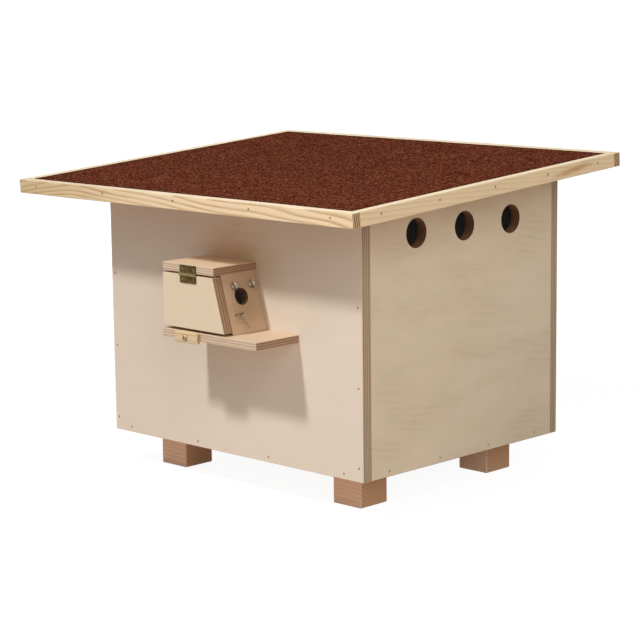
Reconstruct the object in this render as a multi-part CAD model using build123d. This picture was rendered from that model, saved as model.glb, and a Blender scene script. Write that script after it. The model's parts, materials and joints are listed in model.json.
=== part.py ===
from build123d import *
from math import cos, radians, sin, sqrt, tan
import os

# Bumblebee nest box: a plywood box on four feet, a felted roof that lifts off, and an entrance porch
# with a hinged door, a turn latch and a clear flap that keeps wax moths out.
# X points right, Y to the rear and Z up, in millimetres. The origin is on the ground, under the middle
# of the roof's outline, and the porch looks towards -Y.

# Box
box_width = 394.0
box_depth = 322.5
front_height = 283.5        # from the box's lower edge to the roof board, at the front face
ply = 12.0                  # box panels and roof board
arris = 0.5                 # chamfer on every sawn edge
cut_margin = 1.0            # how far a cutter runs past the face that it leaves

# Feet
foot_side = 41.3
foot_height = 41.0
foot_inset_side = 38.0      # from the box's left and right faces
foot_inset_end = 36.5       # from its front and rear faces
foot_arris = 1.0

# Roof
roof_slope = 3.7            # degrees, rising to the rear
overhang_front = 79.0
overhang_side = 63.0
overhang_rear = 30.5
felt_thickness = 3.0
felt_recess = 0.3           # the felt lies this much below the battens' top
batten_thickness = 11.0
cleat_height = 14.0
cleat_thickness = 18.0
cleat_clearance = 2.0       # between the cleats and the walls
seat_gap = 0.3              # between the roof board and the walls that it rests on

# Ventilation
vent_diameter = 32.0
vent_spacing = 77.5
vent_count = 3
vent_drop = 30.1            # centres below the front panel's top
mesh_thickness = 0.8
mesh_margin = 8.0           # gauze beyond the holes
mesh_pitch = 5.0
mesh_wire = 1.2
staple_width = 10.0
staple_wire = 1.0
staple_leg = 6.0

# Porch
porch_drop = 65.3           # porch roof's top below the front panel's top
porch_depth = 63.0
porch_height = 63.2         # clear height between shelf and porch roof
porch_left = -37.5          # X of the porch's left side
porch_width = 79.7          # porch roof
porch_ply = 9.0             # shelf, porch roof and porch walls
shelf_left = -39.1          # X of the shelf's left end
shelf_width = 144.4
wall_lean = 16.1            # degrees, the flight wall's lean from upright
roof_lip = 2.5              # porch roof past the flight wall's top
entrance_diameter = 19.0
entrance_drop = 25.7        # flight hole's centre below the porch roof, down the leaning wall
entrance_offset = 1.75      # flight hole's centre in front of the wall's middle
passage_diameter = 25.0     # hole from the porch into the box

# Porch door
door_ply = 12.0
door_gap_top = 2.2
door_gap_bottom = 3.0
door_gap_back = 0.5

# Hinge
hinge_length = 25.0
hinge_leaf = 9.5            # from the pin's axis to the leaf's edge
hinge_plate = 1.0
hinge_offset = 1.2          # from the porch roof's middle
knuckle_count = 3
knuckle_diameter = 3.5
knuckle_gap = 0.3
pin_diameter = 1.8
pin_clearance = 0.05

# Turn latch
latch_length = 35.0
latch_width = 12.0
latch_thickness = 5.5
latch_arris = 1.0
latch_inset = 40.5          # pivot from the porch's left side
latch_drop = 5.5            # pivot below the shelf's top
latch_tilt = 1.0            # degrees from level, turned open
latch_clearance = 0.3
pivot_clearance = 0.05

# Moth flap
flap_thickness = 3.0
flap_side_gap = 2.75        # flap's sides inside the flight wall's
flap_gap_bottom = 10.5      # flap's lower edge above the shelf, up the leaning wall
flap_axis_drop = 13.7       # flap's axis below the porch roof, down the leaning wall
flap_corner = 2.0
eye_wire = 1.6
eye_spacing = 25.5
eye_clearance = 0.35
eye_standoff = 0.4          # ring's clearance from the wall
eye_cover = 2.0             # wall left behind the eye's tip
prop_wire = 1.2
prop_hole_inset = 4.7       # wire's first hole from the flap's front edge
prop_hole_rise = 11.0       # wire's holes above the flap's lower edge
prop_hole_spacing = 7.0
prop_hole_play = 0.5
prop_tail_side = 13.0       # how far the tail runs towards the box
prop_tail_drop = 16.0       # and down
prop_bend = 1.1
prop_gap = 0.1

# Nails and screws
nail_head = 2.6
nail_head_thickness = 0.6
nail_wire = 1.4
nail_length = 28.0
nail_proud = 0.15
nail_inset = 28.0           # first and last nail of a row along the floor, from the panel's end
floor_nail_count = 4
edge_nail_inset = 15.0      # lowest and highest nail of an upright row
edge_nail_count = 4
batten_nail_inset = 30.0
batten_nail_level = 9.0     # above the roof board's underside
batten_nail_count = 5
fastener_facets = 8         # sides of nails, screws and bent wire
ring_facets = 16            # corners of a screw eye's ring
screw_head = 6.0
screw_shank = 3.0
screw_land = 0.2            # straight rim of a countersunk head
foot_screw_cover = 10.0     # foot left below the screw's tip
porch_screw_length = 36.0
porch_screw_inset = 20.0
shelf_screw_count = 3
roof_screw_count = 2
cleat_screw_cover = 2.0     # roof board left above the screw's tip
cleat_screw_inset = 30.0
cleat_screw_count = 3
hinge_screw_head = 3.6
hinge_screw_shank = 1.8
hinge_screw_length = 8.0
hinge_screw_spacing = 17.5
latch_screw_head = 6.4
latch_screw_head_height = 2.2
latch_screw_shank = 3.2
latch_screw_length = 24.0

# Places that follow from the sizes
slope_sin = sin(radians(roof_slope))
slope_cos = cos(radians(roof_slope))
slope_tan = tan(radians(roof_slope))
lean_sin = sin(radians(wall_lean))
lean_cos = cos(radians(wall_lean))
lean_tan = tan(radians(wall_lean))

batten_height = ply + felt_thickness + felt_recess
roof_width = box_width + 2 * overhang_side
outline_front = -overhang_front - batten_height * slope_sin
outline_rear = box_depth + overhang_rear
front_y = -(outline_front + outline_rear) / 2
rear_y = front_y + box_depth
middle_y = (front_y + rear_y) / 2
inside_y = (front_y + ply, rear_y - ply)
box_bottom = foot_height
floor_top = box_bottom + ply
front_top = box_bottom + front_height
inner_x = box_width / 2 - ply
vent_z = front_top - vent_drop

roof_plane = Plane(origin=(0, front_y, front_top), x_dir=(1, 0, 0), z_dir=(0, -slope_sin, slope_cos))
roof_front = -overhang_front / slope_cos
roof_rear = (box_depth + overhang_rear) / slope_cos

porch_front = front_y - porch_depth
porch_right = porch_left + porch_width
ceiling = front_top - porch_drop - porch_ply
shelf_top = ceiling - porch_height
door_back = porch_front + door_ply
wall_front = door_back + door_gap_back
wall_thickness_level = porch_ply / lean_cos
wall_length = porch_height / lean_cos


def wall_x(z):
    """X of the flight wall's outer face at a height."""
    return porch_right - roof_lip + (ceiling - z) * lean_tan


# On the flight wall: x along +Y from the wall's middle, y up the wall from the porch roof, z outwards
wall_plane = Plane(
    origin=(wall_x(ceiling), (wall_front + front_y) / 2, ceiling),
    x_dir=(0, 1, 0),
    z_dir=(lean_cos, 0, lean_sin),
)


def block(x, y, z):
    """Box between two limits on each axis."""
    centre = [(low + high) / 2 for low, high in (x, y, z)]
    return Pos(*centre) * Box(x[1] - x[0], y[1] - y[0], z[1] - z[0])


def eased(part, size=arris):
    """Takes the sharpness off every edge."""
    return chamfer(part.edges(), size)


def bore(diameter, thickness):
    """Round cutter, centred on one face of a panel and long enough to go right through it."""
    return Cylinder(diameter / 2, 2 * (thickness + cut_margin))


def prism(points, y_from, y_to):
    """Extrudes an outline of (x, z) points from one depth to another."""
    outline = Polyline([(x, y_from, z) for x, z in points], close=True)
    return extrude(make_face(outline), amount=y_to - y_from, dir=(0, 1, 0))


def spread(first, last, count):
    """Evenly spaced values from first to last."""
    return [first + (last - first) * i / (count - 1) for i in range(count)]


def facet_rod(diameter, length):
    """Faceted rod that hangs down from the level z = 0, its diameter across flats."""
    section = RegularPolygon(diameter / 2, fastener_facets, major_radius=False)
    return Pos(0, 0, -length) * extrude(section, length)


def nail():
    """Flat-headed nail that points down, its head just proud of z = 0."""
    head = facet_rod(nail_head, nail_head_thickness)
    return Pos(0, 0, nail_proud) * (head + facet_rod(nail_wire, nail_length))


def countersunk_screw(head, shank, length):
    """Countersunk screw that points down, its head flush with z = 0."""
    cone = (head - shank) / 2
    top = facet_rod(head, cone + screw_land)
    return chamfer(top.edges().group_by(Axis.Z)[0], cone) + facet_rod(shank, length)


def driven(fastener, points, outward):
    """A fastener at each point, driven in against the outward direction."""
    return [Plane(origin=point, z_dir=outward) * fastener for point in points]


def save(name, *solids):
    """Writes one named piece, or a group of like pieces."""
    shape = solids[0] if len(solids) == 1 else Compound(children=list(solids))
    export_step(shape, f"parts/{name}.step")


def under_roof(panel):
    """Cuts a wall off along the sloping roof board."""
    return split(panel, bisect_by=roof_plane.offset(-seat_gap), keep=Keep.BOTTOM)


def vent_ys():
    """Depths of the ventilation holes along a side."""
    reach = vent_spacing * (vent_count - 1) / 2
    return spread(middle_y - reach, middle_y + reach, vent_count)


def passage_centre():
    """Middle of the hole between porch and box, on the front face."""
    x = (porch_left + porch_ply + wall_x(shelf_top) - wall_thickness_level) / 2
    return x, front_y, (shelf_top + ceiling) / 2


def box_panels():
    """Front and rear cover the ends of the sides, and the floor lies inside all four."""
    wall_z = (box_bottom, front_top + box_depth * slope_tan + ply)
    full_x = (-box_width / 2, box_width / 2)
    front = eased(under_roof(block(full_x, (front_y, inside_y[0]), wall_z)))
    save("front_panel", front - Pos(*passage_centre()) * Rot(90, 0, 0) * bore(passage_diameter, ply))
    save("rear_panel", eased(under_roof(block(full_x, (inside_y[1], rear_y), wall_z))))
    for name, side in (("right_panel", 1), ("left_panel", -1)):
        panel = eased(under_roof(block(sorted((side * inner_x, side * box_width / 2)), inside_y, wall_z)))
        for y in vent_ys():
            panel -= Pos(side * inner_x, y, vent_z) * Rot(0, 90, 0) * bore(vent_diameter, ply)
        save(name, panel)
    save("floor_panel", eased(block((-inner_x, inner_x), inside_y, (box_bottom, floor_top))))


def panel_nails():
    """Rows of nails into the floor's edges and up the edges of the side panels."""
    half = box_width / 2
    mid_floor = box_bottom + ply / 2
    row_x = spread(nail_inset - half, half - nail_inset, floor_nail_count)
    row_y = spread(inside_y[0] + nail_inset, inside_y[1] - nail_inset, floor_nail_count)
    row_z = spread(box_bottom + edge_nail_inset, front_top - edge_nail_inset, edge_nail_count)
    nails = []
    for y, outward in ((front_y, -1), (rear_y, 1)):
        points = [(x, y, mid_floor) for x in row_x]
        points += [(side * (half - ply / 2), y, z) for side in (-1, 1) for z in row_z]
        nails += driven(nail(), points, (0, outward, 0))
    for side in (-1, 1):
        nails += driven(nail(), [(side * half, y, mid_floor) for y in row_y], (side, 0, 0))
    save("panel_nails", *nails)


def foot_centres():
    """Name and middle of each foot."""
    half = foot_side / 2
    x = box_width / 2 - foot_inset_side - half
    for end, y in (("front", front_y + foot_inset_end + half), ("rear", rear_y - foot_inset_end - half)):
        for side, sign in (("left", -1), ("right", 1)):
            yield f"foot_{end}_{side}", sign * x, y


def feet():
    """Four square feet, each held by a screw through the floor."""
    half = foot_side / 2
    for name, x, y in foot_centres():
        save(name, eased(block((x - half, x + half), (y - half, y + half), (0, foot_height)), foot_arris))
    screw = countersunk_screw(screw_head, screw_shank, ply + foot_height - foot_screw_cover)
    save("foot_screws", *driven(screw, [(x, y, floor_top) for _, x, y in foot_centres()], (0, 0, 1)))


def mesh_cells():
    """Centres of the gauze's openings within one vent, as (along the side, up)."""
    limit = vent_diameter / 2
    reach = int(limit / mesh_pitch)
    steps = [i * mesh_pitch for i in range(-reach, reach + 1)]
    corner = (mesh_pitch - mesh_wire) / 2
    cells = [(a, b) for a in steps for b in steps]
    return [(a, b) for a, b in cells if sqrt((abs(a) + corner) ** 2 + (abs(b) + corner) ** 2) < limit]


def staple():
    """Wire staple whose crown lies on z = 0 and whose legs point down."""
    half_wire, half_width = staple_wire / 2, staple_width / 2
    wire_x = (-half_wire, half_wire)
    shape = block(wire_x, (-half_width, half_width), (0, staple_wire))
    for y in (-half_width, half_width - staple_wire):
        shape += block(wire_x, (y, y + staple_wire), (-staple_leg, staple_wire))
    return shape


def vent_mesh():
    """Gauze inside each side, and the staples that hold it."""
    length = vent_spacing * (vent_count - 1) + vent_diameter + 2 * mesh_margin
    height = vent_diameter + 2 * mesh_margin
    cell = mesh_pitch - mesh_wire
    openings = [Pos(y - middle_y + a, b) * Rectangle(cell, cell) for y in vent_ys() for a, b in mesh_cells()]
    gauze = extrude(Rectangle(length, height) - openings, mesh_thickness)
    ys = vent_ys()
    end_reach = (length - mesh_margin) / 2
    staple_ys = [middle_y - end_reach, middle_y + end_reach] + [(a + b) / 2 for a, b in zip(ys, ys[1:])]
    staples = []
    for name, side in (("vent_mesh_right", 1), ("vent_mesh_left", -1)):
        face = Plane(origin=(side * inner_x, middle_y, vent_z), x_dir=(0, -side, 0), z_dir=(-side, 0, 0))
        save(name, face * gauze)
        staples += [face * Pos(side * (middle_y - y), 0, mesh_thickness) * staple() for y in staple_ys]
    save("mesh_staples", *staples)


def porch_shell():
    """Shelf, roof and two side walls, fastened from inside the box."""
    shelf_right = shelf_left + shelf_width
    porch_y = (porch_front, front_y)
    wall_y = (wall_front, front_y)
    save("porch_shelf", eased(block((shelf_left, shelf_right), porch_y, (shelf_top - porch_ply, shelf_top))))
    save("porch_roof", eased(block((porch_left, porch_right), porch_y, (ceiling, ceiling + porch_ply))))
    save("porch_left_wall", eased(block((porch_left, porch_left + porch_ply), wall_y, (shelf_top, ceiling))))
    outline = [(wall_x(z), z) for z in (shelf_top, ceiling)]
    outline += [(wall_x(z) - wall_thickness_level, z) for z in (ceiling, shelf_top)]
    flight_hole = wall_plane * Pos(-entrance_offset, -entrance_drop) * bore(entrance_diameter, porch_ply)
    save("porch_right_wall", eased(prism(outline, *wall_y)) - flight_hole)

    shelf_row = spread(shelf_left + porch_screw_inset, shelf_right - porch_screw_inset, shelf_screw_count)
    roof_row = spread(porch_left + porch_screw_inset, porch_right - porch_screw_inset, roof_screw_count)
    points = [(x, inside_y[0], shelf_top - porch_ply / 2) for x in shelf_row]
    points += [(x, inside_y[0], ceiling + porch_ply / 2) for x in roof_row]
    screw = countersunk_screw(screw_head, screw_shank, porch_screw_length)
    save("porch_screws", *driven(screw, points, (0, 1, 0)))


def porch_door():
    """Front door of the porch, its right edge cut to the flight wall's lean."""
    low, high = shelf_top + door_gap_bottom, ceiling - door_gap_top
    outline = [(porch_left, low), (wall_x(low), low), (wall_x(high), high), (porch_left, high)]
    save("porch_door", eased(prism(outline, porch_front, door_back)))


def rod_along_x(span, diameter):
    """Round rod on the X axis, from one end to the other."""
    return Pos(sum(span) / 2, 0, 0) * Rot(0, 90, 0) * Cylinder(diameter / 2, span[1] - span[0])


def hinge_leaf_with_screws(side, owned, bore_diameter):
    """One leaf on the pin's axis, upward for side 1, with the knuckles that it owns and its screws."""
    radius = knuckle_diameter / 2
    half = hinge_length / 2
    ends = spread(-half, half, knuckle_count + 1)
    leaf = block((-half, half), (radius - hinge_plate, radius), sorted((0, side * hinge_leaf)))
    for i, (low, high) in enumerate(zip(ends, ends[1:])):
        if i in owned:
            leaf += rod_along_x((low + knuckle_gap / 2, high - knuckle_gap / 2), knuckle_diameter)
        else:
            room = (-radius - knuckle_gap, radius + knuckle_gap)
            leaf -= block((low - knuckle_gap / 2, high + knuckle_gap / 2), room, room)
    leaf -= rod_along_x((-hinge_length, hinge_length), bore_diameter)
    level = side * (radius + hinge_leaf) / 2
    reach = hinge_screw_spacing / 2
    screw = countersunk_screw(hinge_screw_head, hinge_screw_shank, hinge_screw_length)
    screws = driven(screw, [(x, radius - hinge_plate, level) for x in (-reach, reach)], (0, -1, 0))
    for seat in screws:
        leaf -= seat
    return leaf, screws


def hinge():
    """Small butt hinge, its leaves on the fronts of porch roof and door."""
    middle = (porch_left + porch_right) / 2 + hinge_offset
    place = Pos(middle, porch_front - knuckle_diameter / 2, ceiling - door_gap_top / 2)
    outer = range(0, knuckle_count, 2)
    inner = range(1, knuckle_count, 2)
    upper, upper_screws = hinge_leaf_with_screws(1, outer, pin_diameter)
    lower, lower_screws = hinge_leaf_with_screws(-1, inner, pin_diameter + 2 * pin_clearance)
    save("hinge_upper_leaf", place * upper)
    save("hinge_lower_leaf", place * lower)
    save("hinge_upper_screws", *[place * s for s in upper_screws])
    save("hinge_lower_screws", *[place * s for s in lower_screws])
    save("hinge_pin", place * rod_along_x((-hinge_length / 2, hinge_length / 2), pin_diameter))


def turn_latch():
    """Wooden turn button on a screw in the shelf's front edge, turned open."""
    origin = (porch_left + latch_inset, porch_front - latch_clearance, shelf_top - latch_drop)
    pivot = Plane(origin=origin, z_dir=(0, -1, 0), x_dir=(1, 0, 0))
    button = Pos(0, 0, latch_thickness / 2) * Box(latch_length, latch_width, latch_thickness)
    button = eased(button, latch_arris) - bore(latch_screw_shank + 2 * pivot_clearance, latch_thickness)
    save("turn_latch", pivot * Rot(0, 0, latch_tilt) * button)

    head = Pos(0, 0, latch_screw_head_height / 2) * Cylinder(latch_screw_head / 2, latch_screw_head_height)
    head = chamfer(head.edges().sort_by(Axis.Z)[-1], latch_screw_head_height / 2)
    shank = Pos(0, 0, -latch_screw_length / 2) * Cylinder(latch_screw_shank / 2, latch_screw_length)
    save("latch_screw", pivot * Pos(0, 0, latch_thickness + latch_clearance) * (head + shank))


def eye_ring(radius):
    """Ring of a screw eye about the X axis, radius to the middle of its wire."""
    half_wire = eye_wire / 2
    rim = RegularPolygon(radius + half_wire, ring_facets, major_radius=False)
    rim -= RegularPolygon(radius - half_wire, ring_facets, major_radius=False)
    ring = extrude(rim, half_wire, both=True)
    corners = ring.edges().filter_by(GeomType.LINE).filter_by(Axis.Z, reverse=True)
    return Rot(0, 90, 0) * chamfer(corners, eye_wire * (1 - sqrt(0.5)))


def moth_flap():
    """Clear flap hung on two screw eyes. It turns about the rings' own axis, so it never binds on them."""
    web = flap_thickness / 2
    ring = web * sqrt(2) + eye_clearance + eye_wire / 2
    standoff = ring + eye_wire / 2 + eye_standoff
    axis = wall_plane * Pos(0, -flap_axis_drop, standoff)
    half = (front_y - wall_front) / 2 - flap_side_gap
    bottom = flap_axis_drop + flap_gap_bottom - wall_length

    plate = block((-half, half), (bottom, web), (-web, web))
    plate = fillet(plate.edges().filter_by(Axis.Z), flap_corner)
    eye_length = standoff - ring + porch_ply - eye_cover
    eye = eye_ring(ring) + Pos(0, 0, -ring) * facet_rod(eye_wire, eye_length)
    eyes = []
    for x in (-eye_spacing / 2, eye_spacing / 2):
        plate -= Pos(x, -ring) * bore(2 * (ring - web), flap_thickness)
        eyes.append(axis * Pos(x) * eye)
    save("flap_eyes", *eyes)

    left = prop_hole_inset - half
    right = left + prop_hole_spacing
    level = bottom + prop_hole_rise
    for x in (left, right):
        plate -= Pos(x, level) * bore(prop_wire + 2 * prop_hole_play, flap_thickness)
    save("moth_flap", axis * plate)

    face = web + prop_wire / 2 + prop_gap
    route = [
        (right, level, face + prop_wire),
        (right, level, -face),
        (left, level, -face),
        (left, level, face),
        (left + prop_tail_side, level - prop_tail_drop, face),
    ]
    path = FilletPolyline(*route, radius=prop_bend)
    section = Plane(origin=path @ 0, z_dir=path % 0) * RegularPolygon(prop_wire / 2, fastener_facets)
    save("flap_wire", axis * sweep(section, path=path))


def roof():
    """Felted board in a frame of battens, with two cleats that drop inside the walls."""
    half = roof_width / 2
    inner_half = half - batten_thickness
    inner_y = (roof_front + batten_thickness, roof_rear - batten_thickness)
    edge_z = (0, batten_height)
    save("roof_board", roof_plane * eased(block((-inner_half, inner_half), inner_y, (0, ply))))
    save("roof_felt", roof_plane * block((-inner_half, inner_half), inner_y, (ply, ply + felt_thickness)))
    battens = {
        "batten_front": block((-half, half), (roof_front, inner_y[0]), edge_z),
        "batten_rear": block((-half, half), (inner_y[1], roof_rear), edge_z),
        "batten_left": block((-half, -inner_half), inner_y, edge_z),
        "batten_right": block((inner_half, half), inner_y, edge_z),
    }
    for name, batten in battens.items():
        save(name, roof_plane * eased(batten))

    row_x = spread(batten_nail_inset - half, half - batten_nail_inset, batten_nail_count)
    row_y = spread(inner_y[0] + batten_nail_inset, inner_y[1] - batten_nail_inset, batten_nail_count)
    nails = []
    for y, outward in ((roof_front, -1), (roof_rear, 1)):
        nails += driven(nail(), [(x, y, batten_nail_level) for x in row_x], (0, outward, 0))
    for side in (-1, 1):
        nails += driven(nail(), [(side * half, y, batten_nail_level) for y in row_y], (side, 0, 0))
    save("batten_nails", *[roof_plane * n for n in nails])

    cleat_half = inner_x - cleat_clearance
    near = (ply + cleat_clearance) / slope_cos
    far = (box_depth - ply - cleat_clearance - cleat_height * slope_sin) / slope_cos
    spans = {"cleat_front": (near, near + cleat_thickness), "cleat_rear": (far - cleat_thickness, far)}
    row = spread(cleat_screw_inset - cleat_half, cleat_half - cleat_screw_inset, cleat_screw_count)
    screw = countersunk_screw(screw_head, screw_shank, cleat_height + ply - cleat_screw_cover)
    screws = []
    for name, span in spans.items():
        save(name, roof_plane * eased(block((-cleat_half, cleat_half), span, (-cleat_height, 0))))
        screws += driven(screw, [(x, sum(span) / 2, -cleat_height) for x in row], (0, 0, -1))
    save("cleat_screws", *[roof_plane * s for s in screws])


os.makedirs("parts", exist_ok=True)
box_panels()
panel_nails()
feet()
vent_mesh()
porch_shell()
porch_door()
hinge()
turn_latch()
moth_flap()
roof()
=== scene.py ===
"""Looks of a bumblebee nest box: birch plywood, pine battens, granule felt, aged brass, gauze and acrylic.

The file is laid out as an add-on and run as a script. Lengths are metres, in the part's own frame: +X to the
right of someone who faces the porch, +Y to the rear, +Z up, with the origin on the ground.
"""

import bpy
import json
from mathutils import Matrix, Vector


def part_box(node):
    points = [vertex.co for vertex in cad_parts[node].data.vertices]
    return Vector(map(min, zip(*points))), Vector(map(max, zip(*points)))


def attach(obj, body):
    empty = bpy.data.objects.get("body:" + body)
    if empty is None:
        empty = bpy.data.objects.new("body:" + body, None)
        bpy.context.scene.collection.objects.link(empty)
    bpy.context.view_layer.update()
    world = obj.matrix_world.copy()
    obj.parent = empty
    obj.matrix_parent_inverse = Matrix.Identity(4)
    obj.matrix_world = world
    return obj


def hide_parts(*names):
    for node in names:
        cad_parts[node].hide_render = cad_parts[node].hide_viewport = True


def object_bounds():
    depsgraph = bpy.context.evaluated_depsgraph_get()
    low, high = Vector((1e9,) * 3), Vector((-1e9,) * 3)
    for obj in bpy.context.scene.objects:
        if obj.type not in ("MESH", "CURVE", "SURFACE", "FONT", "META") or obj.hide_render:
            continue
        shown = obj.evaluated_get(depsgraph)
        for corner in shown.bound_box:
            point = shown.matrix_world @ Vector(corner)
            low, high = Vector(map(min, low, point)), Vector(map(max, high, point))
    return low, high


bl_info = {
    "name": "Bumblebee nest box",
    "version": (1, 0, 0),
    "blender": (4, 5, 0),
    "location": "3D View > Sidebar > Nest box",
    "description": "Finishes for a plywood bumblebee nest box, and a plain studio to show it in",
    "category": "Object",
}

import json
from math import asin, cos, pi, radians, sin

import bmesh
import bpy
from bpy.props import FloatProperty, FloatVectorProperty, IntProperty, PointerProperty
from mathutils import Matrix, Vector

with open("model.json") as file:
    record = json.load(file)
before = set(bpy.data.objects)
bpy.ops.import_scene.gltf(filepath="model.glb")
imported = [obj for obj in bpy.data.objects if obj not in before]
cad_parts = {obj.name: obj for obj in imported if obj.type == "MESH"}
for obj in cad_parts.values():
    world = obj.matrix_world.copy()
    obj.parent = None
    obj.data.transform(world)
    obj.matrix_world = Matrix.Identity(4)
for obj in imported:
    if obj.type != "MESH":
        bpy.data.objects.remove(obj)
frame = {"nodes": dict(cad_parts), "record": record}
cad_low, cad_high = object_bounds()

X_AXIS = Vector((1, 0, 0))
Y_AXIS = Vector((0, 1, 0))
Z_AXIS = Vector((0, 0, 1))
OUTWARD = -Y_AXIS           # the way that the heads of hinge and latch screws look
MM = 0.001
BLACK = (0, 0, 0, 1)
WHITE = (1, 1, 1, 1)
SHARP_CAD = radians(28)     # edges of the CAD pieces that turn by more than this stay sharp
SHARP_MADE = radians(40)    # and so do those of the pieces made here
SAME_POINT = 0.001 * MM     # points this near to each other are one
SAME_LEVEL = 0.01 * MM      # points this near to a level count as on it
SENSOR = 36.0               # width of the camera's sensor in millimetres

# Sockets of node groups, and what each finish gives
FLOAT = "NodeSocketFloat"
VECTOR = "NodeSocketVector"
COLOUR = "NodeSocketColor"
FINISH = (("Color", COLOUR), ("Roughness", FLOAT), ("Height", FLOAT))

# Boards of birch plywood: node, direction of the face grain, number of plies, name of the face's colour,
# strength of the figure, and the colours of its edges in view: ply where sawn, bore where drilled
BOARDS = (
    ("front_panel", X_AXIS, 9, "veneer_light", 0.25, "ply"),
    ("rear_panel", X_AXIS, 9, "veneer_light", 0.5, "ply"),
    ("right_panel", Y_AXIS, 9, "veneer_side", 1.0, "bore"),
    ("left_panel", Y_AXIS, 9, "veneer_side", 1.0, "bore"),
    ("floor_panel", X_AXIS, 9, "veneer_warm", 1.0, "ply"),
    ("roof_board", X_AXIS, 9, "veneer_roof", 1.0, "ply"),
    ("porch_shelf", X_AXIS, 7, "veneer_warm", 0.8, "ply"),
    ("porch_roof", X_AXIS, 7, "veneer_porch", 0.8, "ply"),
    ("porch_left_wall", Y_AXIS, 7, "veneer_deep", 1.0, "ply"),
    ("porch_right_wall", Y_AXIS, 7, "veneer_deep", 1.0, "bore"),
    ("porch_door", X_AXIS, 7, "veneer_side", 0.35, "ply"),
)
BOARD_SEED = 0.37           # shift of the figure from one board to the next
VENEER_LINES = 120.0        # wavy lines of a face, per metre across the grain
VENEER_SWAY = 9.0           # how many lines they sway by
VENEER_LEAN = 0.2           # how far they lean across the grain

# Pine bars: node, direction of the grain, name of the early wood's colour, strength of the figure, how far
# the rings run out of the face, and where the pith lies, across and through the bar
BATTENS = (
    ("batten_front", X_AXIS, "pine_pale", 0.75, 0.0, (-55 * MM, -80 * MM)),
    ("batten_rear", X_AXIS, "pine_early", 0.7, 0.02, (-39 * MM, -100 * MM)),
    ("batten_left", Y_AXIS, "pine_early", 0.6, -0.025, (-44 * MM, -100 * MM)),
    ("batten_right", Y_AXIS, "pine_early", 0.3, 0.012, (-49 * MM, -100 * MM)),
    ("cleat_front", X_AXIS, "pine_early", 0.9, 0.02, (-54 * MM, -100 * MM)),
    ("cleat_rear", X_AXIS, "pine_early", 0.9, -0.02, (-59 * MM, -100 * MM)),
)

# Feet: node, and where the pith lies, across and through it
FEET = (
    ("foot_front_left", (-30 * MM, -24 * MM)),
    ("foot_front_right", (-21 * MM, -24 * MM)),
    ("foot_rear_left", (-12 * MM, -24 * MM)),
    ("foot_rear_right", (-3 * MM, -24 * MM)),
)

# What the growth rings of each wood take, by the names of the group's inputs
PINE = {"Waver": 11 * MM, "End share": 0.7, "End figure": 2.6}
LARCH = {"Waver": 9 * MM, "Run-out": 0.02, "Figure": 0.22, "End share": 0.6, "End figure": 0.22}
LATCH_WOOD = {"Waver": 8 * MM, "Run-out": 0.03, "Figure": 0.6, "End share": 0.85, "End figure": 0.6}
LATCH_PITH = (-9 * MM, -16 * MM)
# The front batten's rings waver more, and its pith drifts across it and swerves near its left end
SWERVES = {"batten_front": {"Waver": 17 * MM, "Drift": -0.045, "Swerve": 0.135, "Swerve place": 90 * MM}}
SWERVE_BEND = 25 * MM       # how gently the pith swerves

# Metals: names of the clean colour and of the film's, the share that the film covers, and its graininess
METALS = {
    "zinc_steel": ("steel", "steel_dull", 0.3, 0.4),
    "yellow_zinc": ("nail", "nail_dull", 0.5, 0.5),
    "aged_brass": ("brass", "brass_tarnish", 0.6, 0.5),
    "dull_brass": ("screw_brass", "brass_tarnish", 0.35, 0.6),
}
# Fasteners that are shown as the CAD has them, by their metal
FASTENERS = {
    "yellow_zinc": ("panel_nails", "batten_nails", "mesh_staples"),
    "zinc_steel": ("foot_screws", "porch_screws", "cleat_screws"),
}

# Stains and the patches of painted shade and highlight share the next setting.
PATCH_UNEVEN = 0.9          # how far a stain's rim wanders, in shares of its reach
GAUZE_SIDES = 4             # sides of the gauze's thin wires
GLOSS_IOR = 1.22            # lower than acrylic's own, for a fainter gloss on the flap
EDGE_COVER = 0.1            # share of what lies behind that the flap's sawn edges cover
BORE_COVER = 0.9            # and the walls of its drilled holes
SAW_MARKS = (900, 900, 900)     # marks of the tool on the flap's cut edges, per metre along each axis

# Slotted screw, in shares of its head's radius
SLOT_HALF = 0.14            # half the slot's width
SLOT_DEPTH = 0.34           # depth of the slot
SLOT_TAPER = 0.92           # radius of the head at the slot's floor
SLOT_SHANK = 0.5            # radius of the shank
SLOT_LENGTH = 3.2           # length of the screw
SLOT_LIFT = 0.02 * MM       # how far its head stands proud
SLOT_TURN = 0.9             # turn of the first slot in radians
SLOT_STEP = 1.7             # and from each slot to the next

# Domed screw, in shares of its head's radius across and of its height up
DOME_SHANK = 0.5            # radius of the shank
DOME_RIM = 0.35             # height of the rim
DOME_STEPS = 6              # rings of points on the dome
CROSS_ARM = 0.55            # reach of the cross recess
CROSS_HALF = 0.13           # half the width of its bars
CROSS_TAPER = 0.6           # what is left of both at its floor
CROSS_FLOOR = 0.3           # height of its floor
CROSS_TOP = 1.1             # height of its cutter's top, clear of the head


def joint_place(name):
    """Where a joint is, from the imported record."""
    joint = next(j for j in frame["record"]["behaviour"]["joints"] if j["name"] == name)
    return Vector(joint["pos_m"])


def maker(kind, **options):
    """Function that makes properties of one kind, each from its name, description and default."""
    return lambda name, description, default: kind(name=name, description=description, default=default,
                                                   **options)


colour = maker(FloatVectorProperty, subtype="COLOR", size=3, min=0, max=1)
reach = maker(FloatVectorProperty, subtype="XYZ", unit="LENGTH")
length = maker(FloatProperty, unit="LENGTH", precision=5, min=0)
angle = maker(FloatProperty, subtype="ANGLE")
share = maker(FloatProperty, subtype="FACTOR", min=0, max=1)
power = maker(FloatProperty, subtype="POWER")
focus = maker(FloatProperty, subtype="DISTANCE_CAMERA")
whole = maker(IntProperty, min=6)


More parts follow.
